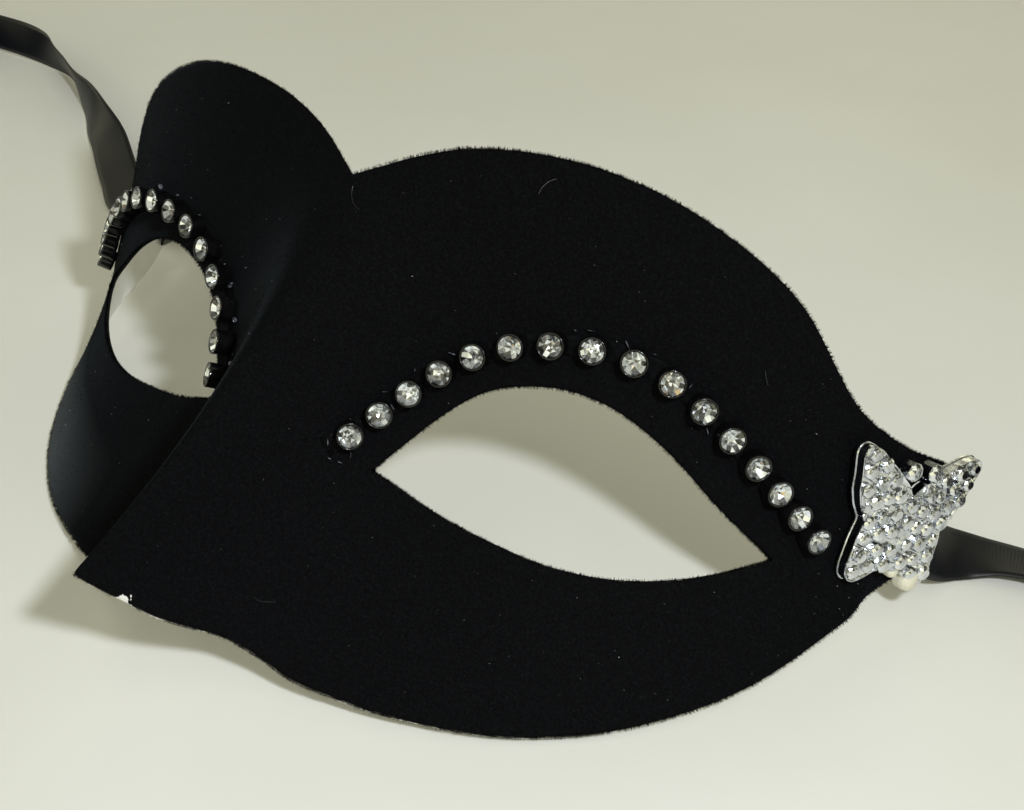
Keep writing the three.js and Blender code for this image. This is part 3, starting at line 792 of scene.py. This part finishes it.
def make_strip(label, row, materials):
    cup = bmesh.new()
    spin_profile(cup, CUP_PROFILE, 32)
    pattern = bpy.data.meshes.new("cup")
    cup.to_mesh(pattern)
    cup.free()
    bm = bmesh.new()
    margin = CUP_RADIUS + STRIP_OVERHANG
    bmesh.ops.create_grid(bm, x_segments=90, y_segments=3, size=0.5)
    walked = np.array([-margin + (row.whole + 2 * margin) * (v.co.x + 0.5) for v in bm.verts])
    aside = np.array([STRIP_WIDTH * v.co.y for v in bm.verts])
    for vert, place in zip(bm.verts, row.beside(walked, aside, np.full(len(walked), GAP))):
        vert.co = place
    bmesh.ops.recalc_face_normals(bm, faces=bm.faces)
    if bm.faces[len(bm.faces) // 2].normal.z < 0:
        bmesh.ops.reverse_faces(bm, faces=bm.faces)
    bmesh.ops.solidify(bm, geom=bm.faces, thickness=STRIP_THICK * MM)
    bmesh.ops.recalc_face_normals(bm, faces=bm.faces)
    for band_face in bm.faces:
        band_face.material_index = 1
    for number in range(STONES):
        before = len(bm.verts)
        bm.from_mesh(pattern)
        bm.verts.ensure_lookup_table()
        bmesh.ops.transform(bm, matrix=row.place(number), verts=bm.verts[before:])
    strip = new_piece(f"cup_band_{label}", bm, materials)
    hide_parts(f"brow_strip_{label}")
    print(label, "band faces:", len(strip.data.polygons))


cup_plastic, cup_tree, cup_shader, spot = mottled_material(
    "glossy_black_plastic", 500.0, [(0.4, (0.0025, 0.0025, 0.003)), (0.7, (0.006, 0.006, 0.0065))],
    Roughness=0.12)
add_bump(cup_tree, cup_shader, noise(cup_tree, spot, 900.0), 0.05, 0.0001)
band_plastic = mottled_material(
    "dull_black_band", 1200.0, [(0.4, (0.0034, 0.0035, 0.004)), (0.7, (0.0066, 0.0068, 0.0078))],
    Roughness=1.0, Specular_IOR_Level=0.0)[0]
for label, row in rows.items():
    make_strip(label, row, [cup_plastic, band_plastic])

# %% Glue strokes
GLUE_LIFT = 0.62
GLUE = [(15, 12), (16.5, 10), (18, 16), (22.5, 19.7), (12, 7.3), (10.5, 3.5), (11.2, 1.2), (12.4, 0.7),
        (13.3, 2), (39, 28.4), (41, 29.1), (45, 28.9), (46.5, 29), (50.5, 28.9), (56.5, 26.4),
        (60.5, 21.2), (-42.5, 27.6), (-26.5, 22), (-21.5, 18.8), (-20.5, 17.4), (-17.5, 14.2),
        (-16, 13.2), (-10.5, 8.5), (-34, 25.8), (-50, 28)]


def make_glue(material):
    bm = bmesh.new()
    for number, (length, height) in enumerate(GLUE):
        fresh = bmesh.ops.create_icosphere(bm, subdivisions=2, radius=1)["verts"]
        swing = Matrix.Rotation(1.3 * math.sin(4.1 * number) + 0.3, 4, "Z")
        size = (0.42 + 0.24 * math.sin(2.7 * number), 0.08, 0.4)
        bmesh.ops.transform(bm, verts=fresh, matrix=place_on_face(length, height, GLUE_LIFT)
                            @ swing @ Matrix.Diagonal((*size, 1)) @ Matrix.Scale(MM, 4))
    glue = new_piece("dried_glue", bm, [material])
    print("glue faces:", len(glue.data.polygons))


make_glue(mottled_material(
    "dried_clear_glue", 1500.0, [(0.4, (0.01, 0.011, 0.014)), (0.62, (0.15, 0.16, 0.2))],
    Roughness=0.18)[0])

# %% [markdown]
# ## The stones
#
# Each stone is a round brilliant: an eight-sided table, a ring of crown facets and a deep pointed
# underside with a mirror foil. The corners of the facets are a few rings of points, and a convex
# hull closes them into exactly the cut of the stone. The crown is nearly clear, so the foil facets
# under it are what shows. Each foil facet gets its own shade at random, from near black through
# bright silver to a rare smoky brown: painted reflections that give the stones their sparkle.

# %% Stone mesh
STONE_RADIUS = 1.68
GIRDLE = CUP_HEIGHT - 0.13
STONE_RINGS = [(0.55, 0.28, 0, 8), (0.8, 0.18, 0.5, 8), (1.0, 0.02, 0, 16), (1.0, -0.03, 0, 16),
               (0.62, -0.4, 0.25, 8), (0.3, -0.6, 0.75, 8), (0.0, -0.7, 0, 1)]


def ring_points(bm, rings):
    for radius, height, offset, count in rings:
        for k in range(count):
            angle = (k + offset) * math.tau / count
            bm.verts.new((radius * math.cos(angle), radius * math.sin(angle), height))


def make_stone(label, row, number, materials, rng):
    bm = bmesh.new()
    ring_points(bm, STONE_RINGS)
    bmesh.ops.convex_hull(bm, input=bm.verts)
    bmesh.ops.dissolve_limit(bm, angle_limit=0.01, verts=bm.verts, edges=bm.edges)
    bmesh.ops.recalc_face_normals(bm, faces=bm.faces)
    # Each facet gets a random value for its painted reflection.
    painted_glint = bm.faces.layers.float.new("painted_glint")
    for facet in bm.faces:
        facet.material_index = 1 if facet.calc_center_median().z < 0 else 0
        facet[painted_glint] = rng.uniform(0, 1)
    own_turn = Matrix.Rotation(number * 2.4 + row.side, 4, "Z") @ Matrix.Rotation(
        0.07 * math.sin(number * 5.1), 4, "X")
    sized = Matrix.Translation((0, 0, GIRDLE)) @ own_turn @ Matrix.Scale(STONE_RADIUS, 4)
    bmesh.ops.transform(bm, matrix=row.place(number) @ sized, verts=bm.verts)
    stone = new_piece(f"cut_stone_{label}_{number + 1:02d}", bm, materials, smooth=False)
    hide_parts(f"stone_{label}_{number + 1:02d}")
    return stone


crystal = new_material(
    "clear_crown", Base_Color=(1, 1, 1, 1), Roughness=0.03, Metallic=1.0, Alpha=0.1)[0]
foil, foil_tree, foil_shader = new_material("mirror_foil", Roughness=0.12, Metallic=0.9)
# Painted reflections: foil facet shades from near black to bright silver, a rare one brownish.
facet_painted_glint = add_node(foil_tree, "ShaderNodeAttribute", attribute_name="painted_glint").outputs["Fac"]
foil_tree.links.new(add_ramp(foil_tree, facet_painted_glint, [
    (0.0, (0.012, 0.013, 0.015)), (0.24, (0.06, 0.063, 0.07)), (0.38, (0.3, 0.31, 0.34)),
    (0.5, (0.78, 0.82, 0.9)), (0.6, (0.9, 0.94, 1)), (0.95, (0.9, 0.94, 1)), (0.985, (0.6, 0.45, 0.26))]),
    foil_shader.inputs["Base Color"])
stone_rng = np.random.default_rng(3)
for label, row in rows.items():
    for number in range(STONES):
        made = make_stone(label, row, number, [crystal, foil], stone_rng)
print("stone faces:", len(made.data.polygons))

# %% [markdown]
# ## The butterflies
#
# A butterfly is one moulding with four wings, covered with faceted studs and coated bright silver.
# The plate starts as its outline, which is filled, extruded and bevelled, and its face is set back
# inside a raised border. A stud is a few rings of points closed by a convex hull. Small seeded beads
# fill the gaps. Studs and beads are closed shapes of their own, and some stop just short of the plate.

# %% Butterfly mesh
WING = [(0, 3.4), (1.3, 5), (5.2, 7.4), (9.8, 9.9), (11.8, 10.4), (13, 9.9), (13.4, 8.6),
        (12.3, 5.2), (11.9, 3.2), (10.6, 0.8), (8.8, -1.2), (9.3, -4.2), (9.4, -8.4), (9, -10),
        (7.8, -10.9), (6.4, -10.9), (4.6, -10.1), (2.9, -9), (0, -8.8)]
STUDS = [(-11.3, 8.9), (-8.3, 7.6), (-10.9, 6.3), (-5.2, 5.5), (-7.8, 4.8), (-10.4, 3.5), (-3, 3.1),
         (-5.4, 2.5), (-7.9, 1.9), (-5.4, -0.4), (-2.6, 0.4), (11.3, 8.7), (8.5, 7.7), (11, 6.1),
         (5.9, 6.3), (8.2, 5.1), (3.5, 3.8), (5.8, 3.6), (10.4, 3.5), (8.1, 2.5), (5.5, 1.1), (3, 1.2),
         (0.3, 1.7), (0.2, -0.8), (2.6, -1.5), (5.2, -1.6), (7.4, -3.3), (4.6, -4), (1.9, -4.3),
         (7.5, -5.9), (4.2, -6.5), (7.8, -8.5), (5.2, -8.8), (2, -7.1), (-2.4, -2.5), (-5, -2.9),
         (-7.4, -4), (-4.2, -5.4), (-7.3, -6.5), (-4.9, -7.9), (-7.6, -9.1), (-1.2, -5.4), (-1.7, -7.7),
         (-7.7, -1.4), (8, -0.4)]
NOTCH_STUDS = [(-2.2, 6.5), (2.4, 6.7)]
NOTCH_RISE, NOTCH_SIZE, STUD_SIZE = 0.6, 1.5, 1.2
UNCOATED = [(2.0, -8.9, 1.1), (6.1, -10.2, 1.8)]
BUTTERFLIES = {"right": (94.3, 18.6, 7.5), "left": (-100, 20.5, 38)}
BUTTERFLY_THICK = 1.9
FLANGE_THICK, FLANGE_WIDTH = 0.32, 0.16
STUD_RINGS = [(1.0, 0.28, 0, 9), (0.86, 0.5, 0.5, 9), (0.56, 0.72, 0, 9)]
DOME_RINGS = [(1.0, 0.1, 0, 24), (0.92, 0.4, 0, 24), (0.7, 0.64, 0, 24), (0.36, 0.79, 0, 24),
              (0, 0.83, 0, 1)]


def add_stud(bm, x, y, size, turned, base, index=0, deep=0.2, rings=STUD_RINGS):
    part = bmesh.new()
    ring_points(part, [(1.0, -deep, 0, rings[0][3])] + rings)
    bmesh.ops.convex_hull(part, input=part.verts)
    bmesh.ops.dissolve_limit(part, angle_limit=0.01, verts=part.verts, edges=part.edges)
    for facet in part.faces:
        facet.material_index = index
    bmesh.ops.transform(part, verts=part.verts, matrix=Matrix.Translation((x, y, base))
                        @ Matrix.Rotation(turned, 4, "Z") @ Matrix.Scale(size, 4))
    mesh = bpy.data.meshes.new("stud")
    part.to_mesh(mesh)
    part.free()
    bm.from_mesh(mesh)
    bpy.data.meshes.remove(mesh)


def inside_wings(x, y, margin):
    outline = np.array(WING + [(-a, b) for a, b in WING[-2:0:-1]])
    around = np.roll(outline, -1, axis=0)
    crossing = (outline[:, 1] > y) != (around[:, 1] > y)
    where = (around[:, 0] - outline[:, 0]) * (y - outline[:, 1]) / (around[:, 1] - outline[:, 1] + 1e-9)
    odd = np.sum(crossing & (x < where + outline[:, 0])) % 2 == 1
    edge = around - outline
    t = np.clip(np.sum((np.array((x, y)) - outline) * edge, 1) / np.sum(edge ** 2, 1), 0, 1)
    nearest = np.min(np.linalg.norm(outline + edge * t[:, None] - (x, y), axis=1))
    return odd and nearest > margin


def bead_places(rng, tries=900):
    beads = []
    for x, y, size in zip(rng.uniform(-12, 12, tries), rng.uniform(-11, 11, tries),
                          rng.uniform(0.28, 0.5, tries)):
        clear = all(math.dist((x, y), stud) > 1.12 + 0.75 * size for stud in STUDS + NOTCH_STUDS)
        apart = all(math.dist((x, y), bead[:2]) > size + bead[2] for bead in beads)
        if clear and apart and inside_wings(x, y, 0.3):
            beads.append((x, y, size))
    return beads


def upper_and_larger(side):
    return round(side.calc_center_median().z, 3), side.calc_area()


def make_butterfly(label, materials, rng):
    bm = bmesh.new()
    right = [bm.verts.new((x, y, 0)) for x, y in WING]
    left = [bm.verts.new((-x, y, 0)) for x, y in WING[1:-1]]
    plate = bm.faces.new(right + left[::-1])
    if plate.normal.z < 0:
        plate.normal_flip()
    bmesh.ops.bevel(bm, geom=bm.verts[:], offset=0.5, affect="VERTICES", segments=3, profile=0.5,
                    material=-1)
    for level, shrink in ((FLANGE_THICK, FLANGE_WIDTH), (BUTTERFLY_THICK - FLANGE_THICK, 0.42)):
        top = max(bm.faces, key=upper_and_larger)
        raised = bmesh.ops.extrude_face_region(bm, geom=[top, *top.edges])
        top_verts = [g for g in raised["geom"] if isinstance(g, bmesh.types.BMVert)]
        bmesh.ops.translate(bm, verts=top_verts, vec=(0, 0, level))
        bmesh.ops.recalc_face_normals(bm, faces=bm.faces)
        top = max(bm.faces, key=upper_and_larger)
        bmesh.ops.inset_region(bm, faces=[top], thickness=shrink, use_even_offset=True,
                               depth=0.0 if level == FLANGE_THICK else -0.3)
    top_edges = [e for e in bm.edges if all(v.co.z > BUTTERFLY_THICK - 0.01 for v in e.verts)
                 and len(e.link_faces) == 2 and any(abs(f.normal.z) < 0.1 for f in e.link_faces)]
    bmesh.ops.bevel(bm, geom=top_edges, offset=0.16, affect="EDGES", segments=2, profile=0.5,
                    material=-1)
    for number, (x, y) in enumerate(STUDS):
        add_stud(bm, x, y, STUD_SIZE + 0.1 * math.sin(3.3 * number), rng.uniform(0, 1),
                 BUTTERFLY_THICK - 0.1 + 0.12 * math.sin(1.7 * number))
    for x, y, size in bead_places(rng):
        add_stud(bm, x, y, size, rng.uniform(0, 1), BUTTERFLY_THICK - 0.2)
    for x, y in NOTCH_STUDS:
        add_stud(bm, x, y + NOTCH_RISE, NOTCH_SIZE, 0.4, BUTTERFLY_THICK, deep=1)
    for x, y, size in UNCOATED:
        add_stud(bm, x, y, size, 0.3, BUTTERFLY_THICK - 0.9, index=1, deep=0.6, rings=DOME_RINGS)
    bmesh.ops.recalc_face_normals(bm, faces=bm.faces)
    length, height, turned = BUTTERFLIES[label]
    place = place_on_face(length, height, GAP) @ Matrix.Scale(MM, 4)
    bmesh.ops.transform(bm, verts=bm.verts,
                        matrix=place @ Matrix.Rotation(math.radians(turned), 4, "Z"))
    butterfly = new_piece(f"silver_butterfly_{label}", bm, materials, smooth=False)
    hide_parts(f"butterfly_{label}")
    print(label, "butterfly faces:", len(butterfly.data.polygons))


silver, silver_tree, silver_shader, spot = mottled_material(
    "silver_coat", 420.0, [(0.3, (0.4, 0.41, 0.44)), (0.45, (0.68, 0.7, 0.74)),
                           (0.65, (0.84, 0.86, 0.91))], detail=3.0, grain=0.6, Roughness=0.1,
    Metallic=1.0)
add_bump(silver_tree, silver_shader, noise(silver_tree, spot, 700.0, 3.0, 0.6), 0.35, 0.0002)
cream = mottled_material(
    "uncoated_cream_plastic", 300.0, [(0.3, (0.6, 0.58, 0.47)), (0.7, (0.74, 0.72, 0.62))],
    Roughness=0.4)[0]
for number, label in enumerate(BUTTERFLIES):
    make_butterfly(label, [silver, cream], np.random.default_rng(40 + number))

# %% [markdown]
# ## Table and light
#
# The mask lies on a plain pale table. A small lamp stands close beside the camera, so the shadows
# are crisp and short, and a weak warm dome fills them. The dome is uneven like a room, because cut
# stones and a silver coat only sparkle when they have bright and dark things to mirror.

# %% Table
bm = bmesh.new()
bmesh.ops.create_grid(bm, x_segments=1, y_segments=1, size=2)
table_mesh = bpy.data.meshes.new("table")
bm.to_mesh(table_mesh)
bm.free()
table = bpy.data.objects.new("table", table_mesh)
bpy.context.scene.collection.objects.link(table)
table_paint, table_tree, table_shader = new_material("pale_table", Roughness=0.5)
spot = object_coordinates(table_tree)
clouds = add_ramp(table_tree, noise(table_tree, spot, 9.0, 4.0, 0.6), [
    (0.3, (0.7, 0.7, 0.66)), (0.7, (0.745, 0.745, 0.725))])
cells = add_node(table_tree, "ShaderNodeTexVoronoi", {"Vector": spot, "Scale": 55.0})
dust = add_ramp(table_tree, cells.outputs["Distance"], [(0.012, (0.25, 0.24, 0.2)), (0.02, (1, 1, 1))])
rare = add_ramp(table_tree, cells.outputs["Color"], [(0.8, (1, 1, 1)), (0.82, (0, 0, 0))])
dusty = mix(table_tree, rare, dust, (1, 1, 1, 1))
spread = mix(table_tree, 1.0, clouds, dusty, blend_type="MULTIPLY")
table_tree.links.new(spread, table_shader.inputs["Base Color"])
table_mesh.materials.append(table_paint)

# %% Light
LAMP_PLACE = Vector((0.154, -0.083, 0.181)) + SHIFT
LAMP_AIM = Vector((0.074, -0.076, 0.0))
lamp = bpy.data.objects.new("lamp", bpy.data.lights.new("lamp", "AREA"))
bpy.context.scene.collection.objects.link(lamp)
lamp.data.shape = "DISK"
lamp.data.size = 0.02
lamp.data.energy = 1.0
lamp.data.color = (0.93, 0.97, 1)
lamp.location = LAMP_PLACE
lamp.rotation_mode = "QUATERNION"
lamp.rotation_quaternion = (LAMP_AIM - LAMP_PLACE).to_track_quat("-Z", "Y")
lamp.data.use_nodes = True
falloff = add_node(lamp.data.node_tree, "ShaderNodeLightFalloff", {"Strength": 7.85})
lamp.data.node_tree.links.new(falloff.outputs["Constant"],
                              lamp.data.node_tree.nodes["Emission"].inputs["Strength"])

world = bpy.data.worlds.new("room")
bpy.context.scene.world = world
world.use_nodes = True
room = world.node_tree
toward = add_node(room, "ShaderNodeTexCoord").outputs["Generated"]
patches = add_ramp(room, noise(room, toward, 2.6, 1.0, 0.4), [
    (0.4, (0.06, 0.06, 0.06)), (0.51, (0.42, 0.42, 0.42)), (0.6, (1.25, 1.25, 1.25))])
upward = add_node(room, "ShaderNodeSeparateXYZ", {"Vector": toward}).outputs["Z"]
tint = add_ramp(room, upward, [(0.1, (0.95, 0.92, 0.62)), (0.8, (0.94, 0.93, 0.73))])
lit = mix(room, 1.0, patches, tint, blend_type="MULTIPLY")
room.links.new(lit, room.nodes["Background"].inputs["Color"])
room.nodes["Background"].inputs["Strength"].default_value = 1.08
bpy.context.scene.view_settings.view_transform = "Standard"
